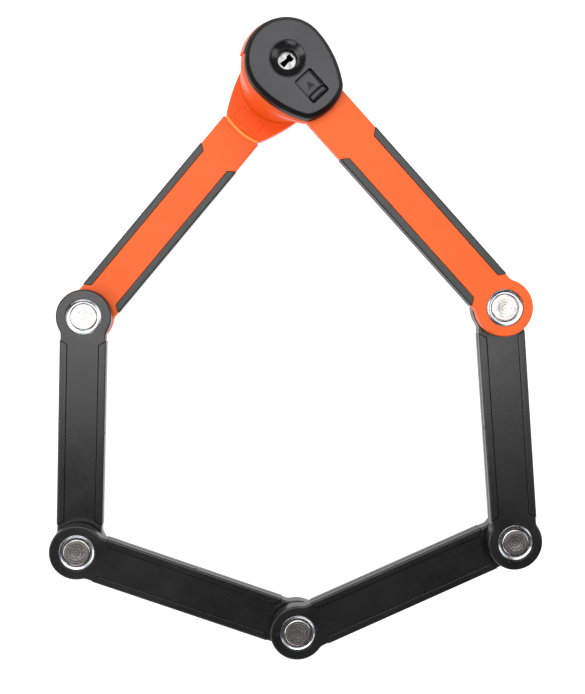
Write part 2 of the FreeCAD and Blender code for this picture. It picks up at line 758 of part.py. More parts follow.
def make_head_parts(core_space):
    head_core = core_space.copy()
    head_core.translate(at(0, 0, LAST * LAYER))
    screw_x, screw_y = CAP_SCREW_AT
    screws = [make_screw(screw_x, y, CAP_SCREW_Z) for y in (screw_y, -screw_y)]
    guide = radial_rod(DRIVE_PIN_R, BOLT_R - GUIDE_DEPTH + SLOT_CLEAR, CASE_R, GUIDE_Z, GUIDE_ANGLE)
    clip_top = SHELL_FOOT_Z - FIT_CLEAR
    foot_top = COLUMN_FOOT_Z + FOOT_T
    shapes = {
        "lock_housing": make_housing(head_core, screws),
        "lock_cap": make_cap(screws + [leaf_block(LEAF_CLEAR)]),
        "cap_screws": Part.makeCompound(screws),
        "lock_case": make_case(guide),
        "case_foot": hoop(HOUSING_BORE_R, BOLT_R + FOOT_CLEAR, COLUMN_FOOT_Z, foot_top),
        "cylinder_shell": make_shell(),
        "key_plug": make_plug(),
        "key_pins": Part.makeCompound(radial_set(PIN_R, KEY_PIN_START, PLUG_R - FACE_CLEAR)),
        "driver_pins": Part.makeCompound(radial_set(PIN_R, PLUG_R + RUN_CLEAR + FACE_CLEAR, DRIVER_END)),
        "pin_springs": make_pin_springs(),
        "plug_clip": hoop(CLIP_R, TAIL_R, clip_top - CLIP_T, clip_top),
        "drive_pin": radial_rod(DRIVE_PIN_R, SLOT_CLEAR - TAIL_R, BOLT_R - SLOT_CLEAR, DRIVE_PIN_Z, 0),
        "locking_bolt": make_bolt(),
        "guide_pin": guide,
        "keyhole_bezel": make_bezel(),
        "keyhole_cover": make_cover(),
        "cover_grip": make_grip(),
        "cover_spring": leaf_block(0),
    }
    return {name: in_head(shape) for name, shape in shapes.items()}


def build():
    core_space = core_blank(END_PITCH, RING_CORE_R)
    return make_links() | make_pivots() | make_collar_parts(core_space) | make_head_parts(core_space)


def footprint_centre(nodes):
    box = Part.makeCompound(list(nodes.values())).optimalBoundingBox(False)
    return at(box.Center.x, box.Center.y, box.ZMin)


def main():
    nodes = build()
    origin = footprint_centre(nodes)
    os.makedirs("parts", exist_ok=True)
    for name, shape in nodes.items():
        shape.translate(origin * -1)
        shape.exportStep(os.path.join("parts", name + ".step"))


main()
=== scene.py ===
"""Looks of the folding bike lock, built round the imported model. In millimetres unless said."""
import json
import math

import bmesh
import bpy
from mathutils import Matrix, Vector


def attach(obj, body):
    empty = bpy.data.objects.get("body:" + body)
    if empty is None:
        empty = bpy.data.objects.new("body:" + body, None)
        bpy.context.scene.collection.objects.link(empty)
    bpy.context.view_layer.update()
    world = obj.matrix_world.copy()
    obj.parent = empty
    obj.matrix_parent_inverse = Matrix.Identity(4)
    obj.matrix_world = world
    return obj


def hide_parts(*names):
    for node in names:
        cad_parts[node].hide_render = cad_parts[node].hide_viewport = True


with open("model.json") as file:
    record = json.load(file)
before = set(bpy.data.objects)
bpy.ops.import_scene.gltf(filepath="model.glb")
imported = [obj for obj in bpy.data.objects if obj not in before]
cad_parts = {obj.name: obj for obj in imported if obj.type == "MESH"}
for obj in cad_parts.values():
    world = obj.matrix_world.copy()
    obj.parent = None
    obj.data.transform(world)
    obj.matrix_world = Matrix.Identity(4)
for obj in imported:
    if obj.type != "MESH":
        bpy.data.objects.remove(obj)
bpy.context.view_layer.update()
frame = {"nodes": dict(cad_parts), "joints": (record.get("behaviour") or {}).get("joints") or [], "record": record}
MM = 0.001

# ---- sizes --------------------------------------------------------------------------

EYE_R = 15.0
NECK_HALF = 12.2
NECK_BLEND = 5.0
EDGE = 0.95
LAYER = 9.0
LINK_T = 7.8
LINK_PITCH = 128.0
END_PITCH = 169.0

STRIP_IN, STRIP_OUT = 8.6, 12.6
STRIP_ENDS = (12.8, 15.4)        # from a pivot, along the outer and the inner edge
END_STRIP_STARTS = (53.9, 56.9)  # the same from the lock axis
STRIP_EDGE = 0.3
RIB_GROOVE = 0.35
GATE_R, GATE_Z = 0.8, 5.3
POCKET_SNUG, POCKET_FLARE = 0.06, 0.72
STRIP_END = ((0.28, 0.02), (0.12, 0.10), (0.0, 0.30))   # (inset, distance from the end)

CORE_Z, CORE_T, CORE_HALF = 1.8, 4.2, 6.8
CORE_EYE_R, RING_CORE_R = 11.6, 18.5
RECESS_R = 9.8
SHANK_R, HEAD_R, HEAD_SUNK = 5.0, 7.2, 0.1
WASHER_R, WASHER_T, WASHER_RIM, WASHER_DISH_R = 9.5, 0.9, 0.36, 8.3
# radius of the painted shade ring on the washers, just outside the rivet heads
PAINTED_SHADE_R = HEAD_R + 0.45
FACE_CLEAR = 0.05

CAP_BASE, CAP_SHOULDER, CAP_TOP = 53.6, 59.4, 61.8
CAP_R, CAP_CORNER, CAP_TIP = 21.4, (29.0, 12.2), 32.2
CORNER_ROUND = 1.8
COLUMN_R, COLUMN_FOOT_R, COLUMN_FOOT_Z, WAIST_Z = 22.9, 22.6, 10.9, 50.5
BORE_R = 20.0
PAD_R, CAP_PAD_R = (23.9, 22.3), (22.2, 21.7)   # at the foot and at the top of each pad
PAD_HALF_ANGLE, PAD_Z = 37.0, (46.5, 56.6)

PLUG_R, PLUG_FACE_Z, SHELL_R, SHELL_FOOT_Z = 4.8, 56.2, 8.8, 33.2
TAIL_R, TAIL_FOOT_Z = 4.2, 21.0
KEYWAY_W, KEYWAY_L = 2.3, 6.6
LOBE_HALF = 1.15
LOBES = ((KEYWAY_L / 2 - LOBE_HALF, 1.75), (1.0 - KEYWAY_L / 2, 1.35))   # (y, half width)
BEZEL_R, BEZEL_HOLE_R, BEZEL_TOP = 9.2, 4.9, 61.7
TRACK_X, TRACK_HALF, TRACK_Z = (-4.2, 25.4), 6.2, (58.05, 59.4)
SLOT_X, SLOT_HALF, SLOT_CORNER = (10.7, 25.0), 5.35, 1.0
COVER_X, COVER_HALF, COVER_Z = (5.7, 24.7), 5.9, (58.2, 59.2)
GRIP_X, GRIP_HALF, GRIP_TOP = (20.3, 24.7), 4.9, 61.7
CHANNEL_Y, NARROW_CHANNEL_Y, CHANNEL_X, CHANNEL_DEPTH = 4.1, 4.55, (8.6, 11.1), 0.5
ARROW, ARROW_DEPTH = ((14.4, 0.0), (18.2, 2.1), (18.2, -2.1)), 0.22

COLLAR_R, COLLAR_BASE_T, COLLAR_TOP = 23.1, 1.2, 8.4
COLLAR_MID, COLLAR_CORNER_Y, COLLAR_LEAVES = (22.6, 16.6), 12.0, 62.0
COLLAR_END_R, JACKET_END_R = 34.8, 36.6
SEAT_R, SEAT_TOP, SEAT_BLEND = 22.6, 10.5, 1.7
PANEL_X, PANEL_HALF, PANEL_CORNER, PANEL_H = (24.0, 31.8), 7.7, 0.8, 0.2
STRIKE_R = 11.0
INSERT_HALF, INSERT_Z, INSERT_ROUND, INSERT_CLEAR = 11.4, (0.6, 6.7), 0.8, 0.02
SCREW_HOLE_R = 3.0


# ---- places, read from the frame ----------------------------------------------------

JOINTS = {joint["name"]: joint for joint in frame["joints"]}


def joint_xy(name):
    x, y, _ = JOINTS[name]["pos_m"]
    return Vector((x, y, 0.0))


LAST = 5
LOCK_AXIS = joint_xy("key_turn")
PIVOTS = [LOCK_AXIS] + [joint_xy(f"pivot_{n}") for n in range(1, LAST + 1)]
LINK_NAMES = ["end_link_a", "link_1", "link_2", "link_3", "link_4", "end_link_b"]


def place_from(start, end, height):
    way = end - start
    turn = Matrix.Rotation(math.atan2(way.y, way.x), 4, "Z")
    return Matrix.Translation(start + Vector((0, 0, height * MM))) @ turn


def link_place(number):
    """Frame of a link: from its first pivot along the link. Link 5 starts at the lock axis."""
    if number == LAST:
        return place_from(LOCK_AXIS, PIVOTS[LAST], LAST * LAYER)
    return place_from(PIVOTS[number], PIVOTS[number + 1], number * LAYER)


HEAD_PLACE = place_from(LOCK_AXIS, PIVOTS[LAST], 0)
COLLAR_PLACE = link_place(0)


# ---- meshes -------------------------------------------------------------------------

def add_mesh(name, points, faces):
    mesh = bpy.data.meshes.new(name)
    mesh.from_pydata([Vector(p) * MM for p in points], [], faces)
    shape = bmesh.new()
    shape.from_mesh(mesh)
    bmesh.ops.recalc_face_normals(shape, faces=shape.faces)
    shape.to_mesh(mesh)
    shape.free()
    obj = bpy.data.objects.new(name, mesh)
    bpy.context.scene.collection.objects.link(obj)
    return obj


def band(first, second, count):
    """Quads between two rings of points that start at these indices."""
    return [
        [first + i, first + (i + 1) % count, second + (i + 1) % count, second + i]
        for i in range(count)
    ]


def solid(name, rings):
    """Closed mesh through rings of (x, y, z) points, capped at both ends."""
    count = len(rings[0])
    last = (len(rings) - 1) * count
    faces = [list(range(count)), list(range(last, last + count))]
    for r in range(len(rings) - 1):
        faces += band(r * count, (r + 1) * count, count)
    return add_mesh(name, [p for ring in rings for p in ring], faces)


def circle(radius, z, segments):
    return [
        (radius * math.cos(math.tau * i / segments), radius * math.sin(math.tau * i / segments), z)
        for i in range(segments)
    ]


def lathe(name, profile, segments=96):
    """Solid of revolution from (radius, height) points; flat discs close its two ends."""
    return solid(name, [circle(r, z, segments) for r, z in profile])


def lathe_ring(name, profile, segments=96):
    """Closed ring of revolution from a closed (radius, height) outline."""
    rings = [circle(r, z, segments) for r, z in profile]
    faces = []
    for r in range(len(rings)):
        faces += band(r * segments, (r + 1) % len(rings) * segments, segments)
    return add_mesh(name, [p for ring in rings for p in ring], faces)


def disc(radius, low, high, x=0.0):
    cutter = lathe("cutter", [(radius, low), (radius, high)], 72)
    cutter.data.transform(Matrix.Translation((x * MM, 0, 0)))
    return cutter


def block(x_range, half_width, z_range):
    corners = [(x_range[0], -half_width), (x_range[1], -half_width), (x_range[1], half_width),
               (x_range[0], half_width)]
    return solid("block", [[(x, y, z) for x, y in corners] for z in z_range])


def combine(target, operation, others):
    """Boolean of a mesh with others, which are used up."""
    for other in others:
        step = target.modifiers.new("combine", "BOOLEAN")
        step.operation = operation
        step.solver = "EXACT"
        step.object = other
    bpy.context.view_layer.update()
    graph = bpy.context.evaluated_depsgraph_get()
    mesh = bpy.data.meshes.new_from_object(target.evaluated_get(graph))
    target.modifiers.clear()
    target.data = mesh
    for other in others:
        bpy.data.objects.remove(other)
    return target


def cut(target, *others):
    return combine(target, "DIFFERENCE", others)


def fuse(target, *others):
    return combine(target, "UNION", others)


def arc(centre, radius, start, end, steps):
    """Points (x, y) along an arc, angles in degrees, both ends included."""
    points = []
    for i in range(steps + 1):
        a = math.radians(start + (end - start) * i / steps)
        points.append((centre[0] + radius * math.cos(a), centre[1] + radius * math.sin(a)))
    return points


def circle_through(a, b, c):
    """Centre and radius of the circle through three points."""
    ax, ay, bx, by, cx, cy = *a, *b, *c
    d = 2 * (ax * (by - cy) + bx * (cy - ay) + cx * (ay - by))
    sa, sb, sc = ax * ax + ay * ay, bx * bx + by * by, cx * cx + cy * cy
    x = (sa * (by - cy) + sb * (cy - ay) + sc * (ay - by)) / d
    y = (sa * (cx - bx) + sb * (ax - cx) + sc * (bx - ax)) / d
    return (x, y), math.dist((x, y), a)


def angle_from(centre, point):
    return math.degrees(math.atan2(point[1] - centre[1], point[0] - centre[0]))


def arc_through(a, b, c, steps):
    """Arc from a over b to c."""
    centre, radius = circle_through(a, b, c)
    start, middle, end = (angle_from(centre, p) for p in (a, b, c))
    sweep = (end - start) % 360
    if (middle - start) % 360 > sweep:
        sweep -= 360
    return arc(centre, radius, start, start + sweep, steps)


def along(a, b, distance):
    share = distance / math.dist(a, b)
    return (a[0] + (b[0] - a[0]) * share, a[1] + (b[1] - a[1]) * share)


def bent(start, corner, end, steps):
    """Smooth turn from start to end that is drawn towards a corner."""
    points = []
    for i in range(steps + 1):
        t = i / steps
        weights = ((1 - t) ** 2, 2 * t * (1 - t), t * t)
        points.append(tuple(sum(w * p[k] for w, p in zip(weights, (start, corner, end))) for k in (0, 1)))
    return points


def rounded_box(x_range, half_width, corner, steps):
    """Function that gives a rectangle with rounded corners at any inset."""
    low, high = x_range[0] + corner, x_range[1] - corner
    y = half_width - corner
    centres = ((high, y), (low, y), (low, -y), (high, -y))

    def outline(inset):
        points = []
        for quarter, centre in enumerate(centres):
            points += arc(centre, corner - inset, 90 * quarter, 90 * quarter + 90, steps)
        return points

    return outline


def rounded_path(points, radii, steps=4):
    """Open (x, z) path whose inner corners are rounded by the given lengths."""
    path = [points[0]]
    for before, corner, after, radius in zip(points, points[1:], points[2:], radii):
        path += bent(along(corner, before, radius), corner, along(corner, after, radius), steps)
    return path + [points[-1]]


def rounded_levels(low, high, radius, steps=4):
    """(inset, height) pairs of a slab whose edges are rounded, from its bottom to its top."""
    levels = []
    for i in range(steps + 1):
        a = math.pi / 2 * i / steps
        levels.append((radius * (1 - math.sin(a)), low + radius * (1 - math.cos(a))))
    return levels + [(inset, low + high - z) for inset, z in reversed(levels)]


def stack(name, outline, levels):
    """Solid whose outline(inset) is repeated at each (inset, height)."""
    return solid(name, [[(x, y, z) for x, y in outline(inset)] for inset, z in levels])


# ---- materials ----------------------------------------------------------------------

GRAIN, SOFT_GRAIN = 2600, 140    # features per metre
NOISE_LOW, NOISE_HIGH = 0.3, 0.7
# mask strengths; the first sets how strongly painted shade darkens the strip edges
SEAM_SHADE_MASK, NO_MASK = (0.9, 0.9, 0.9), (0.0, 0.0, 0.0)
# near-black colours of painted shade, used on the cap's bevel and inside the cover's pointer and channels
PAINTED_SHADE_DARK, PAINTED_SHADE_LIGHT = (0.003, 0.003, 0.003), (0.006, 0.006, 0.006)


class Look:
    """A Principled material with helpers that add its procedural nodes."""

    def __init__(self, name, **sockets):
        self.material = bpy.data.materials.new(name)
        self.material.use_nodes = True
        self.nodes = self.material.node_tree.nodes
        self.links = self.material.node_tree.links
        self.shader = self.nodes["Principled BSDF"]
        for socket, value in sockets.items():
            self.shader.inputs[socket.replace("_", " ")].default_value = value
        self.coords = self.nodes.new("ShaderNodeTexCoord").outputs["Object"]

    def node(self, kind, inputs=(), **settings):
        made = self.nodes.new(kind)
        for key, value in settings.items():
            setattr(made, key, value)
        for key, value in dict(inputs).items():
            if isinstance(value, bpy.types.NodeSocket):
                self.links.new(value, made.inputs[key])
            else:
                made.inputs[key].default_value = value
        return made

    def stretched(self, scale):
        return self.node("ShaderNodeMapping", {"Vector": self.coords, "Scale": scale}).outputs[0]

    def noise(self, scale, detail=3.0, rough=0.5, distortion=0.0, stretch=None):
        """Noise factor; scale is in features per metre."""
        coords = self.stretched(stretch) if stretch else self.coords
        inputs = {"Vector": coords, "Scale": scale, "Detail": detail, "Roughness": rough,
                  "Distortion": distortion}
        return self.node("ShaderNodeTexNoise", inputs).outputs["Fac"]

    def ramp(self, factor, *stops):
        """Colour ramp from (place, colour) stops."""
        made = self.node("ShaderNodeValToRGB", {"Fac": factor})
        elements = made.color_ramp.elements
        while len(elements) < len(stops):
            elements.new(0.5)
        for element, (place, colour) in zip(elements, stops):
            element.position = place
            element.color = (*colour, 1)
        return made.outputs["Color"]

    def spread(self, factor, low, high, out_low, out_high):
        inputs = {"Value": factor, "From Min": low, "From Max": high,
                  "To Min": out_low, "To Max": out_high}
        return self.node("ShaderNodeMapRange", inputs).outputs[0]

    def maths(self, operation, a, b=0.0):
        return self.node("ShaderNodeMath", {0: a, 1: b}, operation=operation).outputs[0]

    def mixed(self, factor, a, b):
        return self.node("ShaderNodeMix", {0: factor, 6: a, 7: b}, data_type="RGBA").outputs[2]

    def set(self, socket, value):
        self.links.new(value, self.shader.inputs[socket])

    def bump(self, height, depth, below=None):
        """Bump of the given depth in millimetres, on top of an earlier one."""
        inputs = {"Height": height, "Strength": 1.0, "Distance": depth * MM}
        if below:
            inputs["Normal"] = below
        return self.node("ShaderNodeBump", inputs).outputs[0]

    def radius(self):
        """Distance from the object's own axis, in metres."""
        flat = self.stretched((1, 1, 0))
        return self.node("ShaderNodeVectorMath", {0: flat}, operation="LENGTH").outputs["Value"]

    def height(self):
        """Height in the object's own frame, in metres."""
        return self.node("ShaderNodeSeparateXYZ", {0: self.coords}).outputs["Z"]

    def rise(self, low, high):
        """0 below one height in millimetres and 1 above another."""
        return self.spread(self.height(), low * MM, high * MM, 0.0, 1.0)

    def shine(self, factor, low, high):
        """Roughness that varies with a noise factor."""
        self.set("Roughness", self.spread(factor, NOISE_LOW, NOISE_HIGH, low, high))


def seam_shade_mask(look):
    """Mask of the painted shade line round the edges of a side strip's two faces, where it meets the jacket."""
    from_middle = look.maths("ABSOLUTE", look.maths("SUBTRACT", look.height(), LINK_T / 2 * MM))
    share = look.spread(from_middle, (LINK_T / 2 - 0.7) * MM, LINK_T / 2 * MM, 0.0, 1.0)
    return look.ramp(share, (0.0, NO_MASK), (0.45, SEAM_SHADE_MASK), (0.86, SEAM_SHADE_MASK), (0.97, NO_MASK))


def plastic(name, dark, light, rough, grain=0.012, specks=0.0, painted_seam_shade=False, **sockets):
    """Moulded plastic: spark-eroded grain, uneven shine, soft mottling, dust specks, and optional dark edges that
    are painted shade.
    """
    look = Look(name, **sockets)
    fine = look.noise(GRAIN, 2, 0.6)
    colour = look.ramp(look.noise(28, 4, 0.55), (0.32, dark), (0.68, light))
    colour = look.mixed(look.spread(fine, 0.35, 0.65, 0.0, 0.18), colour, (*dark, 1))
    if specks:
        inputs = {"Vector": look.coords, "Scale": 190.0, "Randomness": 1.0}
        cells = look.node("ShaderNodeTexVoronoi", inputs)
        speck = look.spread(cells.outputs["Distance"], 0.030, 0.045, specks, 0.0)
        colour = look.mixed(speck, colour, (0.75, 0.76, 0.76, 1))
    # painted shade: a near-black line along the strip's seams with the jacket
    if painted_seam_shade:
        colour = look.mixed(seam_shade_mask(look), colour, (0.002, 0.002, 0.002, 1))
    look.set("Base Color", colour)
    look.shine(look.noise(60, 5, 0.6), rough - 0.03, rough + 0.04)
    look.set("Normal", look.bump(fine, grain, look.bump(look.noise(SOFT_GRAIN, 2), 0.01)))
    return look.material


def glossy_plastic(name, dark, light, rough, **sockets):
    """Polished plastic with faint flow marks and fine rubbing."""
    look = Look(name, Coat_Roughness=0.05, **sockets)
    look.set("Base Color", look.ramp(look.noise(90, 4), (NOISE_LOW, dark), (NOISE_HIGH, light)))
    rub = look.noise(400, 4, 0.6, stretch=(1, 1, 6))
    look.shine(rub, rough, rough + 0.08)
    look.set("Normal", look.bump(look.noise(220, 2), 0.006))
    return look.material


def turned_metal(name, dark, light, rough, pitch, swirl):
    """Metal faced on a lathe: rings round the object's axis that wander by swirl, and wear."""
    look = Look(name, Metallic=1.0)
    wander = look.maths("MULTIPLY", look.noise(160, 3, 0.5, 1.0), swirl * MM)
    r = look.maths("ADD", look.radius(), wander)
    rings = look.maths("SINE", look.maths("MULTIPLY", r, math.tau / (pitch * MM)))
    blotch = look.noise(300, 4, 0.55, 0.6)
    shade = look.maths("ADD", look.maths("MULTIPLY", rings, 0.06), look.maths("MULTIPLY", blotch, 0.26))
    look.set("Base Color", look.ramp(shade, (0.02, dark), (0.24, light)))
    look.set("Roughness", look.spread(rings, -1.0, 1.0, rough - 0.006, rough + 0.006))
    look.set("Normal", look.bump(blotch, 0.0004, look.bump(rings, 0.001)))
    return look.material


def zinc(name, rough, painted_shade_r=0.0):
    """Bright zinc with the faint blue and violet of its passivation, near-black painted shade near the axis round
    a rivet head.
    """
    look = Look(name, Metallic=1.0)
    tint = look.noise(150, 3, 0.5, 1.5)
    colour = look.ramp(tint, (0.25, (0.26, 0.30, 0.42)), (0.45, (0.44, 0.45, 0.47)),
                       (0.6, (0.52, 0.52, 0.53)), (0.8, (0.36, 0.31, 0.44)))
    # painted shade: near-black inside this radius, a ring in the crease just outside the rivet head
    if painted_shade_r:
        painted_shade = look.spread(look.radius(), (painted_shade_r - 0.25) * MM, painted_shade_r * MM, 1.0, 0.0)
        colour = look.mixed(painted_shade, colour, (0.02, 0.02, 0.02, 1))
    look.set("Base Color", colour)
    grit = look.noise(500, 3)
    look.shine(grit, rough, rough + 0.12)
    look.set("Normal", look.bump(grit, 0.0004))
    return look.material


def metal(name, dark, light, rough, stretch=(1, 1, 1), grain=0.01):
    """Plain metal with drawn or ground marks."""
    look = Look(name, Metallic=1.0)
    marks = look.noise(700, 4, 0.6, stretch=stretch)
    look.set("Base Color", look.ramp(look.noise(70, 4), (NOISE_LOW, dark), (NOISE_HIGH, light)))
    look.shine(marks, rough - 0.05, rough + 0.12)
    look.set("Normal", look.bump(marks, grain))
    return look.material


def keyhole_metal(name, light):
    """Nickel that is bright on its face, with near-black painted shade down in the keyway."""
    look = Look(name, Metallic=1.0)
    face = look.rise(PLUG_FACE_Z - 0.8, PLUG_FACE_Z - 0.1)
    wear = look.noise(260, 4, 0.55, 0.6)
    bright = look.ramp(wear, (0.32, (0.17, 0.165, 0.155)), (0.62, light))
    # painted shade: below the plug's face the colour turns near-black, standing for the shade in the keyway
    look.set("Base Color", look.mixed(face, (0.004, 0.004, 0.004, 1), bright))
    look.shine(wear, 0.2, 0.34)
    look.set("Normal", look.bump(wear, 0.02))
    return look.material


def cap_plastic(name):
    """Cap of a lock head: grained grey-black on its flat top; on its bevel a smoother near-black, which is painted
    shade.
    """
    look = Look(name, Specular_IOR_Level=0.10)
    top = look.rise(CAP_TOP - 0.3, CAP_TOP - 0.01)
    fine = look.noise(GRAIN, 2, 0.6)
    dark, light = (0.080, 0.079, 0.083), (0.100, 0.099, 0.103)
    mottle = look.ramp(look.noise(40, 4, 0.6), (0.32, dark), (0.68, light))
    grain = look.mixed(look.spread(fine, 0.35, 0.65, 0.0, 0.35), mottle, (0.055, 0.055, 0.057, 1))
    # painted shade: the bevel's dark reflection is painted in as a near-black colour below the flat top
    painted_dark_bevel = look.ramp(look.noise(60, 3), (NOISE_LOW, PAINTED_SHADE_DARK), (NOISE_HIGH, PAINTED_SHADE_LIGHT))
    look.set("Base Color", look.mixed(top, painted_dark_bevel, grain))
    look.shine(look.noise(60, 5, 0.6), 0.36, 0.48)
    look.set("Normal", look.bump(fine, 0.02))
    return look.material


def cover_plastic(name):
    """Sliding cover: grained on its face, near-black painted shade down in its pointer and its side channels."""
    look = Look(name, Specular_IOR_Level=0.3)
    face = look.rise(COVER_Z[1] - 0.2, COVER_Z[1] - 0.02)
    fine = look.noise(GRAIN, 2, 0.6)
    grain = look.ramp(fine, (NOISE_LOW, (0.056, 0.056, 0.060)), (NOISE_HIGH, (0.074, 0.074, 0.078)))
    # painted shade: near-black colour below the cover's face, in the pointer and the side channels
    painted_recess_shade = look.ramp(fine, (NOISE_LOW, PAINTED_SHADE_DARK), (NOISE_HIGH, PAINTED_SHADE_LIGHT))
    look.set("Base Color", look.mixed(face, painted_recess_shade, grain))
    look.shine(look.noise(60, 5, 0.6), 0.42, 0.52)
    look.set("Normal", look.bump(fine, 0.016))
    return look.material


def orange_plastics():
    return {
        "orange_shell": plastic("orange_shell", (0.93, 0.124, 0.018), (0.99, 0.144, 0.024), 0.50, 0.010,
                                Specular_IOR_Level=0.26),
        "orange_head": plastic("orange_head", (0.95, 0.104, 0.008), (1.0, 0.122, 0.012), 0.36, 0.006,
                               Specular_IOR_Level=0.16),
        # painted highlight: this orange-yellow, lighter than the other orange plastic, stands for the brightly lit
        # gap
        "orange_insert": glossy_plastic("orange_insert", (1.0, 0.26, 0.002), (1.0, 0.35, 0.004), 0.10,
                                        Specular_IOR_Level=0.3, Coat_Weight=0.1),
    }


def dark_plastics():
    satin = {"Specular_IOR_Level": 0.60}
    return {
        "black_shell": plastic("black_shell", (0.004, 0.004, 0.0044), (0.007, 0.007, 0.0075), 0.275,
                               specks=0.2, **satin),
        "black_strip": plastic("black_strip", (0.005, 0.005, 0.0054), (0.008, 0.008, 0.0085), 0.27,
                               painted_seam_shade=True, **satin),
        "grey_strip": plastic("grey_strip", (0.026, 0.029, 0.029), (0.036, 0.040, 0.039), 0.44,
                              painted_seam_shade=True),
        "cap_black": plastic("cap_black", (0.028, 0.028, 0.030), (0.040, 0.040, 0.043), 0.44, 0.022),
        "cap_top": cap_plastic("cap_top"),
        "cover_black": cover_plastic("cover_black"),
        "grip_black": plastic("grip_black", (0.008, 0.008, 0.009), (0.014, 0.014, 0.015), 0.28, 0.006,
                              Specular_IOR_Level=0.45),
        "bezel_black": glossy_plastic("bezel_black", (0.006, 0.006, 0.007), (0.012, 0.012, 0.013), 0.17),
    }


def metals_and_spacers():
    return {
        "rivet_metal": turned_metal("rivet_metal", (0.28, 0.255, 0.235), (0.68, 0.662, 0.64), 0.26,
                                    1.6, 2.4),
        "washer_zinc": zinc("washer_zinc", 0.17, PAINTED_SHADE_R),
        "core_steel": metal("core_steel", (0.30, 0.29, 0.28), (0.46, 0.45, 0.43), 0.42, (1, 8, 8)),
        "spacer_plastic": plastic("spacer_plastic", (0.50, 0.49, 0.46), (0.58, 0.57, 0.54), 0.45),
        "plug_nickel": keyhole_metal("plug_nickel", (0.33, 0.33, 0.32)),
        "brass": metal("brass", (0.55, 0.40, 0.16), (0.72, 0.55, 0.26), 0.30, (1, 1, 6)),
        "spring_steel": metal("spring_steel", (0.42, 0.42, 0.43), (0.60, 0.60, 0.61), 0.25),
        "screw_zinc": zinc("screw_zinc", 0.22),
    }


LOOKS = {**orange_plastics(), **dark_plastics(), **metals_and_spacers()}
SMOOTH_ANGLE = 32


def finish_piece(obj, name, slot, body, place, *replaced, angle=SMOOTH_ANGLE, look=None):
    """Names a mesh, gives it its finish, puts it in place and hands it to its body."""
    obj.name = name
    obj.data.name = name
    obj.data.materials.clear()
    obj.data.materials.append(LOOKS[look or slot])
    obj.data.shade_smooth()
    obj.data.set_sharp_from_angle(angle=math.radians(angle))
    weighted = obj.modifiers.new("weighted", "WEIGHTED_NORMAL")
    weighted.keep_sharp = True
    obj.matrix_world = place
    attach(obj, body)
    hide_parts(*replaced)
    return obj


# ---- links --------------------------------------------------------------------------

def link_outline(length, both_ends, start=0.0):
    """Function that gives a link's outline, counterclockwise, at any inset."""
    reach = EYE_R + NECK_BLEND
    centre_y = NECK_HALF + NECK_BLEND
    centre_x = math.sqrt(reach ** 2 - centre_y ** 2)
    lean = math.degrees(math.atan2(centre_y, centre_x))

    def outline(inset):
        eye, blend = EYE_R - inset, NECK_BLEND + inset
        half = []
        half += arc((length, 0), eye, 0, 180 - lean, 40)
        half += arc((length - centre_x, centre_y), blend, -lean, -90, 8)
        if both_ends:
            half += arc((centre_x, centre_y), blend, -90, lean - 180, 8)
            half += arc((0, 0), eye, lean, 180, 40)
            mirrored = [(x, -y) for x, y in reversed(half[1:-1])]
        else:
            half.append((start, NECK_HALF - inset))
            mirrored = [(x, -y) for x, y in reversed(half[1:])]
        return half + mirrored

    return outline


def slant(y, ends):
    """Place along the link of a strip's slanted end, at a distance from the middle line."""
    return ends[1] + (ends[0] - ends[1]) * (y - STRIP_IN) / (STRIP_OUT - STRIP_IN)


def strip_pocket(side, starts, ends):
    """Cutter for a strip's pocket, with mouths that flare like a moulded joint line."""
    def outline(grow):
        corners = []
        for y in (STRIP_IN - grow, STRIP_OUT + 3):
            corners.append((slant(y, starts) - grow, side * y))
            corners.append((slant(y, ends) + grow, side * y))
        return [corners[0], corners[1], corners[3], corners[2]]

    levels = [(POCKET_FLARE, -0.6), (POCKET_SNUG, 0.4), (POCKET_SNUG, LINK_T - 0.4),
              (POCKET_FLARE, LINK_T + 0.6)]
    return stack("pocket", outline, levels)


def strip_section(inset):
    """(y, z) outline of a side strip: rounded edges and a groove along its outer face."""
    middle = LINK_T / 2
    outer = EDGE - inset
    inner = STRIP_EDGE * (1 - 0.8 * inset / STRIP_EDGE)
    face = STRIP_OUT - inset
    points = arc((STRIP_IN + STRIP_EDGE, STRIP_EDGE), inner, 180, 270, 3)
    points += arc((STRIP_OUT - EDGE, EDGE), outer, -90, 0, 5)
    points += [(face, middle - RIB_GROOVE), (face - RIB_GROOVE, middle), (face, middle + RIB_GROOVE)]
    points += arc((STRIP_OUT - EDGE, LINK_T - EDGE), outer, 0, 90, 5)
    points += arc((STRIP_IN + STRIP_EDGE, LINK_T - STRIP_EDGE), inner, 90, 180, 3)
    return points


def make_strip(side, starts, ends):
    """A side strip with bevelled ends and, on its outer face, the mark of its moulding gate."""
    rings = []
    for inset, back in STRIP_END:
        rings.append([(slant(y, starts) + back, side * y, z) for y, z in strip_section(inset)])
    for inset, back in reversed(STRIP_END):
        rings.append([(slant(y, ends) - back, side * y, z) for y, z in strip_section(inset)])
    strip = solid("strip", rings)
    gate = lathe("gate", [(GATE_R, -1), (GATE_R, 0.15), (GATE_R - 0.12, 0.24)], 24)
    turn = Matrix.Rotation(-side * math.pi / 2, 4, "X")
    place = Vector(((starts[0] + ends[0]) / 2, side * STRIP_OUT, GATE_Z)) * MM
    gate.data.transform(Matrix.Translation(place) @ turn)
    return fuse(strip, gate)


def recess(x, floor, mouth):
    """Cutter for the counterbore round a rivet, with a softened lip at its mouth."""
    way = 1 if mouth > floor else -1
    profile = [(RECESS_R, floor), (RECESS_R, mouth - 0.35 * way), (RECESS_R + 0.1, mouth - 0.1 * way),
               (RECESS_R + 0.35, mouth + 0.02 * way), (RECESS_R + 0.35, mouth + way)]
    cutter = lathe("recess", profile)
    cutter.data.transform(Matrix.Translation((x * MM, 0, 0)))
    return cutter


def core_cutters(length, first_eye):
    low, high = CORE_Z, CORE_Z + CORE_T
    return [block((0, length), CORE_HALF, (low, high)), disc(first_eye, low, high),
            disc(CORE_EYE_R, low, high, length)]


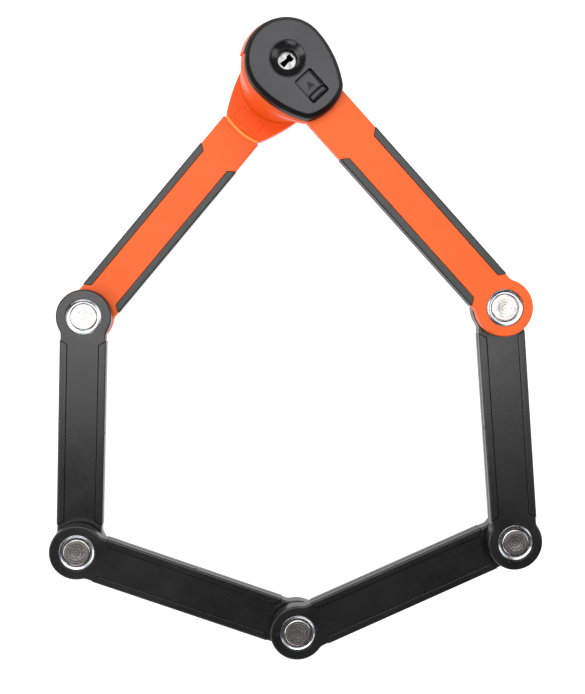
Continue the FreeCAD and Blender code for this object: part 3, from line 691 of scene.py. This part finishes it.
def make_jacket(number):
    end_link = number in (0, LAST)
    length = END_PITCH if end_link else LINK_PITCH
    starts = END_STRIP_STARTS if end_link else STRIP_ENDS
    ends = tuple(length - x for x in STRIP_ENDS)
    outline = link_outline(length, not end_link, start=20.0)
    jacket = stack("jacket", outline, rounded_levels(0, LINK_T, EDGE))
    eyes = [length] if end_link else [0, length]
    cutters = [strip_pocket(side, starts, ends) for side in (1, -1)]
    cutters += core_cutters(length, RING_CORE_R if end_link else CORE_EYE_R)
    for x in eyes:
        cutters += [recess(x, CORE_Z + CORE_T, LINK_T), recess(x, CORE_Z, 0)]
    if number == 0:
        rim = JACKET_END_R
        cutters.append(lathe("end", [(rim + 1.5, -1), (rim + 0.5, 0), (rim + 0.1, 0.3), (rim, 0.8),
                                     (rim, LINK_T - 0.8), (rim + 0.1, LINK_T - 0.3), (rim + 0.5, LINK_T),
                                     (rim + 1.5, LINK_T + 1)]))
    if number == LAST:
        cutters.append(stack("end", teardrop(COLUMN_R + 0.05), [(0, -1), (0, LINK_T + 1)]))
    jacket = cut(jacket, *cutters)
    strips = [make_strip(side, starts, ends) for side in (1, -1)]
    return jacket, strips


def make_links():
    for number, name in enumerate(LINK_NAMES):
        end_link = number in (0, LAST)
        jacket, strips = make_jacket(number)
        shell, strip_slot = ("orange_shell", "grey_strip") if end_link else ("black_shell", "black_strip")
        place = link_place(number)
        finish_piece(jacket, f"{name}_shell", shell, name, place, f"{name}_jacket")
        for side, strip in zip(("left", "right"), strips):
            finish_piece(strip, f"{name}_strip_{side}", strip_slot, name, place, f"{name}_strips")


# ---- rivets -------------------------------------------------------------------------

def rivet_profile():
    """Half outline of a rivet, from the middle of its lower face to that of its upper one."""
    foot, top = HEAD_SUNK, LAYER + LINK_T - HEAD_SUNK
    under = CORE_Z - FACE_CLEAR - WASHER_T
    over = LAYER + CORE_Z + CORE_T + WASHER_T
    face = [(0.6, 0.05), (2.4, 0.05), (2.7, 0.02), (4.4, 0.03), (4.7, 0.0), (6.6, 0.0), (6.95, 0.07),
            (7.12, 0.18), (HEAD_R, 0.36)]
    lower = [(r, foot + depth) for r, depth in face]
    upper = [(r, top - depth) for r, depth in reversed(face)]
    return lower + [(HEAD_R, under), (SHANK_R, under), (SHANK_R, over), (HEAD_R, over)] + upper


def washer_outline():
    """Closed outline of a dished washer with a rolled rim, lying on height 0."""
    rim_top = WASHER_T + WASHER_RIM
    return [
        (SHANK_R, 0), (WASHER_R - 0.15, 0), (WASHER_R, 0.15), (WASHER_R, rim_top - 0.12),
        (WASHER_R - 0.06, rim_top - 0.03), (WASHER_R - 0.16, rim_top), (WASHER_R - 0.30, rim_top - 0.04),
        (WASHER_R - 0.55, rim_top - 0.18), (WASHER_DISH_R + 0.35, WASHER_T + 0.10),
        (WASHER_DISH_R, WASHER_T + 0.02), (WASHER_DISH_R - 0.4, WASHER_T), (SHANK_R, WASHER_T),
    ]


def make_rivets():
    """Rivets and washers, each in a frame on its pivot that is turned along the lower of two links."""
    washer_low = CORE_Z - FACE_CLEAR
    washer_high = LAYER + CORE_Z + CORE_T
    for number in range(1, LAST + 1):
        body = LINK_NAMES[number]
        place = place_from(PIVOTS[number - 1], PIVOTS[number], (number - 1) * LAYER)
        place = Matrix.Translation(PIVOTS[number] - PIVOTS[number - 1]) @ place
        rivet = lathe("rivet", rivet_profile(), 96)
        finish_piece(rivet, f"rivet_{number}_turned", "rivet_metal", body, place, f"rivet_{number}")
        for end, base, way in (("upper", washer_high, 1), ("lower", washer_low, -1)):
            ring = lathe_ring("washer", [(r, base + way * z) for r, z in washer_outline()])
            finish_piece(ring, f"washer_{number}_{end}", "washer_zinc", body, place, f"washers_{number}")


# ---- lock head ----------------------------------------------------------------------

def crossing(centre_a, radius_a, centre_b, radius_b):
    """The crossing of two circles that lies furthest along +X and +Y."""
    gap = math.dist(centre_a, centre_b)
    reach = (radius_a ** 2 - radius_b ** 2 + gap ** 2) / (2 * gap)
    aside = math.sqrt(radius_a ** 2 - reach ** 2)
    ux, uy = ((q - p) / gap for p, q in zip(centre_a, centre_b))
    x, y = centre_a[0] + ux * reach, centre_a[1] + uy * reach
    return max((x - uy * aside, y + ux * aside), (x + uy * aside, y - ux * aside), key=sum)


def teardrop(radius, corner=CAP_CORNER, tip=CAP_TIP):
    """Function that gives the head's outline at any inset: half circle, bowed sides, bowed tail."""
    drop = radius - corner[1]
    side_r = (corner[0] ** 2 + drop ** 2) / (2 * drop)
    side_centre = (0, radius - side_r)
    tail_centre, tail_r = circle_through((corner[0], -corner[1]), (tip, 0), corner)

    def outline(inset):
        r, side, end = radius - inset, side_r - inset, tail_r - inset
        point = crossing(side_centre, side, tail_centre, end)
        turn = angle_from(tail_centre, point) - math.degrees(CORNER_ROUND / end)
        lean = angle_from(side_centre, point) + math.degrees(CORNER_ROUND / side)
        tail = arc(tail_centre, end, -turn, turn, 24)
        flank = arc(side_centre, side, lean, 90, 30)
        upper = bent(tail[-1], point, flank[0], 10)[1:] + flank[1:]
        back = arc((0, 0), r, 90, 270, 80)[1:-1]
        return tail + upper + back + [(x, -y) for x, y in reversed(upper)]

    return outline


def pad(radii, low, high):
    """Raised stretch round the back of the head that leans in towards its top, edges rounded."""
    def outline(inset):
        r = radii[0] - inset
        spread = PAD_HALF_ANGLE - math.degrees(inset / 2 / r)
        outer = arc((0, 0), r, 180 - spread, 180 + spread, 40)
        return outer + arc((0, 0), BORE_R + 0.6, 180 + spread, 180 - spread, 40)

    lean = radii[0] - radii[1]
    return stack("pad", outline, [(0.4, low), (0.12, low + 0.12), (0.0, low + 0.4), (lean, high - 0.3),
                                  (lean + 0.12, high - 0.08), (lean + 0.4, high)])


def make_housing():
    foot = COLUMN_FOOT_Z
    column = lathe("housing", [
        (COLUMN_FOOT_R - 0.5, foot), (COLUMN_FOOT_R - 0.15, foot + 0.12), (COLUMN_FOOT_R, foot + 0.5),
        (COLUMN_R, WAIST_Z - 2),
    ], 144)
    tail_low = LAST * LAYER
    levels = [(1.0, tail_low), (0.62, tail_low + 0.12), (0.3, tail_low + 0.36), (0.08, tail_low + 0.75),
              (0.0, tail_low + 1.2), (0.0, WAIST_Z - 0.5), (0.08, WAIST_Z), (0.35, WAIST_Z + 0.5),
              (1.5, CAP_BASE)]
    tail = stack("tail", teardrop(COLUMN_R), levels)
    housing = fuse(column, tail, pad(PAD_R, PAD_Z[0], CAP_BASE + 0.4))
    top = block((-40, 40), 40, (CAP_BASE, CAP_BASE + 5))
    core = core_cutters(END_PITCH, RING_CORE_R)
    for cutter in core:
        cutter.data.transform(Matrix.Translation((0, 0, tail_low * MM)))
    return cut(housing, top, disc(BORE_R, foot - 1, CAP_BASE + 1), *core)


def slot_cutter():
    """Cutter for the cover's slot: rounded corners and a softened mouth."""
    outline = rounded_box(SLOT_X, SLOT_HALF, SLOT_CORNER, 6)
    return stack("slot", outline, [(0, TRACK_Z[1] - 0.1), (0, CAP_TOP - 0.35), (-0.08, CAP_TOP - 0.12),
                                   (-0.3, CAP_TOP + 0.02), (-0.3, CAP_TOP + 1)])


def make_cap():
    profile = rounded_path([(0.25, CAP_BASE), (0.0, CAP_BASE + 0.25), (0.4, CAP_SHOULDER), (2.4, CAP_TOP),
                            (4.2, CAP_TOP)], (0.2, 0.7, 0.7), 6)
    cap = stack("cap", teardrop(CAP_R), profile[:-1])
    cap = fuse(cap, pad(CAP_PAD_R, CAP_BASE, PAD_Z[1]))
    dish = lathe("dish", [(BEZEL_R, TRACK_Z[1] - 0.1), (BEZEL_R, CAP_TOP - 0.35),
                          (BEZEL_R + 0.1, CAP_TOP - 0.1), (BEZEL_R + 0.35, CAP_TOP + 0.02),
                          (BEZEL_R + 0.35, CAP_TOP + 1)])
    return cut(cap, dish, slot_cutter(), block(TRACK_X, TRACK_HALF, TRACK_Z),
               disc(PLUG_R - 0.1, CAP_BASE - 1, TRACK_Z[0] + 0.1),
               disc(SHELL_R + 0.05, CAP_BASE - 1, PLUG_FACE_Z))


def make_bezel():
    """Polished dish round the keyhole: a rolled lip, a hollow and a fine inner rim."""
    low = TRACK_Z[1] + 0.05
    hollow = [tuple(p) for p in arc_through((BEZEL_R - 0.42, BEZEL_TOP - 0.06), (7.3, low + 1.22),
                                            (BEZEL_HOLE_R + 0.35, low + 0.34), 16)]
    outline = [(BEZEL_HOLE_R, low), (BEZEL_R, low), (BEZEL_R, BEZEL_TOP - 0.2),
               (BEZEL_R - 0.08, BEZEL_TOP - 0.05), (BEZEL_R - 0.25, BEZEL_TOP)]
    outline += hollow + [(BEZEL_HOLE_R + 0.14, low + 0.26), (BEZEL_HOLE_R + 0.03, low + 0.16)]
    return lathe_ring("bezel", outline, 120)


def make_plug():
    plug = lathe("plug", [(TAIL_R, TAIL_FOOT_Z), (TAIL_R, SHELL_FOOT_Z), (PLUG_R, SHELL_FOOT_Z),
                          (PLUG_R, PLUG_FACE_Z - 0.35), (PLUG_R - 0.12, PLUG_FACE_Z - 0.1),
                          (PLUG_R - 0.4, PLUG_FACE_Z)], 72)
    low = SHELL_FOOT_Z + 1
    keyway = block((-KEYWAY_W / 2, KEYWAY_W / 2), KEYWAY_L / 2, (low, CAP_TOP))
    lobes = []
    for y, half in LOBES:
        lobe = block((-half, half), LOBE_HALF, (low, CAP_TOP))
        lobe.data.transform(Matrix.Translation((0, y * MM, 0)))
        lobes.append(lobe)
    return cut(plug, keyway, *lobes)


def make_cover():
    """Sliding plate with softened edges, channels beside its raised face and a sunken pointer."""
    def outline(inset):
        x0, x1, y = COVER_X[0] + inset, COVER_X[1] - inset, COVER_HALF - inset
        return [(x0, -y), (x1, -y), (x1, y), (x0, y)]

    plate = stack("cover", outline, rounded_levels(*COVER_Z, 0.15, 2))
    middle = (sum(p[0] for p in ARROW) / 3, sum(p[1] for p in ARROW) / 3)

    def pointer(inset):
        return [along(p, middle, inset) for p in ARROW]

    face = COVER_Z[1]
    channel_z = (face - CHANNEL_DEPTH, face + 0.5)
    channels = [block(CHANNEL_X, COVER_HALF + 1, channel_z)]
    for y, side in ((CHANNEL_Y, 1), (NARROW_CHANNEL_Y, -1)):
        half = (COVER_HALF + 1 - y) / 2
        channel = block((CHANNEL_X[0], GRIP_X[0]), half, channel_z)
        channel.data.transform(Matrix.Translation((0, side * (y + half) * MM, 0)))
        channels.append(channel)
    arrow = stack("pointer", pointer, [(0.25, face - ARROW_DEPTH), (0.01, face + 0.02), (0.01, face + 0.5)])
    return cut(plate, fuse(*channels), arrow)


def make_grip():
    """Barrel-backed thumb grip: bowed in plan, crowned across, with rounded ends."""
    low = COVER_Z[1]
    front, back = GRIP_X
    rings = []
    steps = 18
    for i in range(steps + 1):
        y = GRIP_HALF * (2 * i / steps - 1)
        share = abs(y) / GRIP_HALF
        end = max(0.0, (share - 0.86) / 0.14)
        x0 = front + 0.45 * share ** 2 + 0.35 * end ** 2
        x1 = back - 0.2 * (1 - share ** 2) - 0.35 * end ** 2
        top = GRIP_TOP - 0.15 * share ** 2 - 0.5 * end ** 2
        side = low + 0.62 * (top - low)
        crown = arc_through((x1, side), ((x0 + x1) / 2, top), (x0, side), 12)
        rings.append([(x0, y, low), (x1, y, low)] + [(x, y, z) for x, z in crown])
    return solid("grip", rings)


def make_head():
    body = "end_link_b"
    finish_piece(make_housing(), "housing_shell", "orange_head", body, HEAD_PLACE, "lock_housing",
                 angle=28)
    finish_piece(make_cap(), "cap_shell", "cap_black", body, HEAD_PLACE, "lock_cap",
                 angle=28, look="cap_top")
    finish_piece(make_bezel(), "keyhole_ring", "bezel_black", body, HEAD_PLACE, "keyhole_bezel", angle=50)
    finish_piece(make_plug(), "key_plug_turned", "plug_nickel", "key_plug", HEAD_PLACE, "key_plug")
    finish_piece(make_cover(), "cover_plate", "cap_black", "keyhole_cover", HEAD_PLACE, "keyhole_cover",
                 look="cover_black")
    finish_piece(make_grip(), "cover_thumb_grip", "cap_black", "keyhole_cover", HEAD_PLACE, "cover_grip",
                 angle=50, look="grip_black")


# ---- collar -------------------------------------------------------------------------

def collar_outline(inset):
    """Round on the lock axis, drawn in towards link 0 and ended by a bow about the axis."""
    corner_y, end_r = COLLAR_CORNER_Y - inset, COLLAR_END_R - inset
    corner = (math.sqrt(end_r ** 2 - corner_y ** 2), corner_y)
    r = COLLAR_R - inset
    leave = (r * math.cos(math.radians(COLLAR_LEAVES)), r * math.sin(math.radians(COLLAR_LEAVES)))
    middle = (COLLAR_MID[0], COLLAR_MID[1] - inset)
    side = arc_through(corner, middle, leave, 16)
    half = arc((0, 0), end_r, 0, angle_from((0, 0), corner), 12)[:-1] + side[:-1]
    half += arc((0, 0), r, COLLAR_LEAVES, 180, 48)
    return half + [(x, -y) for x, y in reversed(half[1:-1])]


def make_collar():
    levels = [(0.15, COLLAR_BASE_T), (0.0, COLLAR_BASE_T + 0.15)]
    levels += [(0.6 * (1 - math.cos(a)), COLLAR_TOP - 0.6 * (1 - math.sin(a)))
               for a in (math.pi / 2 * i / 5 for i in range(6))]
    shell = stack("collar", collar_outline, levels)
    foot = SEAT_R + SEAT_BLEND
    swell = [(foot - SEAT_BLEND * math.sin(a), COLLAR_TOP + 1.1 * (1 - math.cos(a)))
             for a in (math.pi / 2 * i / 6 for i in range(7))]
    lip = [(SEAT_R, SEAT_TOP - 0.35), (SEAT_R - 0.1, SEAT_TOP - 0.1), (SEAT_R - 0.35, SEAT_TOP)]
    seat = lathe("seat", [(foot, COLLAR_TOP - 1), (foot, COLLAR_TOP - 0.05)] + swell + lip, 144)
    bound = stack("bound", collar_outline, [(0.6, 0), (0.6, SEAT_TOP + 1)])
    seat = combine(seat, "INTERSECT", [bound])
    panel_outline = rounded_box(PANEL_X, PANEL_HALF, PANEL_CORNER, 5)
    panel_top = COLLAR_TOP + PANEL_H
    panel = stack("panel", panel_outline, [(0, COLLAR_TOP - 1), (0, COLLAR_TOP + 0.05),
                                           (0.06, panel_top - 0.04), (0.2, panel_top)])
    trench = stack("trench", panel_outline, [(-0.45, COLLAR_TOP - 0.35), (-0.5, COLLAR_TOP + 1)])
    shell = fuse(cut(shell, trench), seat, panel)
    return cut(shell, disc(STRIKE_R, CORE_Z, SEAT_TOP + 1), *core_cutters(END_PITCH, RING_CORE_R))


def make_insert():
    """Insert in the curved gap between the collar and the jacket of the lowest link, coloured a bright
    orange-yellow that is painted highlight.
    """
    def outline(inset):
        inner, outer = COLLAR_END_R + INSERT_CLEAR, JACKET_END_R - INSERT_CLEAR
        spread_in = math.degrees(math.asin((INSERT_HALF - inset) / inner))
        spread_out = math.degrees(math.asin((INSERT_HALF - inset) / outer))
        far_side = arc((0, 0), outer, -spread_out, spread_out, 24)
        return far_side + arc((0, 0), inner, spread_in, -spread_in, 24)

    insert = stack("insert", outline, rounded_levels(*INSERT_Z, INSERT_ROUND, 6))
    return cut(insert, *core_cutters(END_PITCH, RING_CORE_R))


def make_collar_base():
    base = stack("base", collar_outline, [(0.75, 0), (0.4, 0.25), (0.35, COLLAR_BASE_T)])
    return cut(base, disc(SCREW_HOLE_R, -1, 3))


def make_collar_parts():
    body = "end_link_a"
    finish_piece(make_collar(), "collar_moulding", "orange_head", body, COLLAR_PLACE, "collar_shell",
                 angle=26)
    finish_piece(make_insert(), "gap_insert", "orange_insert", body, COLLAR_PLACE, "neck_insert")
    finish_piece(make_collar_base(), "collar_foot", "cap_black", body, COLLAR_PLACE, "collar_base")


# ---- the rest of the CAD nodes ------------------------------------------------------

def dress_cad_nodes():
    """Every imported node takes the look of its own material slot."""
    slots = {part["node"]: part["material_slot"] for part in frame["record"]["subparts"]}
    for name, obj in frame["nodes"].items():
        obj.data.materials.clear()
        obj.data.materials.append(LOOKS[slots[name]])


# ---- floor, light and camera --------------------------------------------------------

FLOOR_HALF, FLOOR_Z = 5000, -0.4


def make_floor():
    corners = ((-1, -1), (1, -1), (1, 1), (-1, 1))
    points = [(x * FLOOR_HALF, y * FLOOR_HALF, FLOOR_Z) for x, y in corners]
    floor = add_mesh("floor", points, [[0, 1, 2, 3]])
    look = Look("floor_paper", Emission_Color=(1, 1, 1, 1), Emission_Strength=0.85)
    dark, light = (0.50, 0.50, 0.50), (0.54, 0.54, 0.54)
    look.set("Base Color", look.ramp(look.noise(3, 3), (NOISE_LOW, dark), (NOISE_HIGH, light)))
    look.shine(look.noise(40, 4), 0.85, 0.95)
    floor.data.materials.append(look.material)


def softbox(name, place, target, size, radiance):
    """Area light that faces a target and glows with the given radiance; all lengths are in metres."""
    lamp = bpy.data.lights.new(name, "AREA")
    lamp.shape = "RECTANGLE"
    lamp.size, lamp.size_y = size
    lamp.energy = math.pi * size[0] * size[1] * radiance
    obj = bpy.data.objects.new(name, lamp)
    obj.location = place
    obj.rotation_euler = (Vector(target) - Vector(place)).to_track_quat("-Z", "Y").to_euler()
    bpy.context.scene.collection.objects.link(obj)


def make_lights():
    middle = (0, 0, 0.03)
    softbox("light_over", (-0.12, 0.38, 1.15), (-0.12, 0.379, 0), (1.3, 1.1), 3.15)
    softbox("light_left", (-1.35, -0.3, 1.15), middle, (0.9, 0.9), 3.1)
    softbox("light_right", (1.3, 0.0, 1.1), middle, (0.75, 0.75), 2.5)
    softbox("light_near", (-0.3, -1.15, 1.05), middle, (0.9, 0.5), 2.7)
    world = bpy.data.worlds.new("studio")
    world.use_nodes = True
    back = world.node_tree.nodes["Background"]
    back.inputs["Color"].default_value = (1, 1, 1, 1)
    back.inputs["Strength"].default_value = 0.06
    bpy.context.scene.world = world


CAMERA_FROM_LOCK = Vector((-31.1, -112.8, 535.1))
CAMERA_TURN = (-0.0648, -0.0714, 0.0028)   # radians
CAMERA_LENS = 48.74


def make_camera():
    data = bpy.data.cameras.new("camera")
    data.lens = CAMERA_LENS
    data.sensor_width = 36
    camera = bpy.data.objects.new("camera", data)
    camera.location = LOCK_AXIS + CAMERA_FROM_LOCK * MM
    camera.rotation_euler = CAMERA_TURN
    bpy.context.scene.collection.objects.link(camera)
    bpy.context.scene.camera = camera
    bpy.context.scene.view_settings.view_transform = "Standard"


make_camera()
dress_cad_nodes()
make_links()
make_rivets()
make_head()
make_collar_parts()
make_floor()
make_lights()
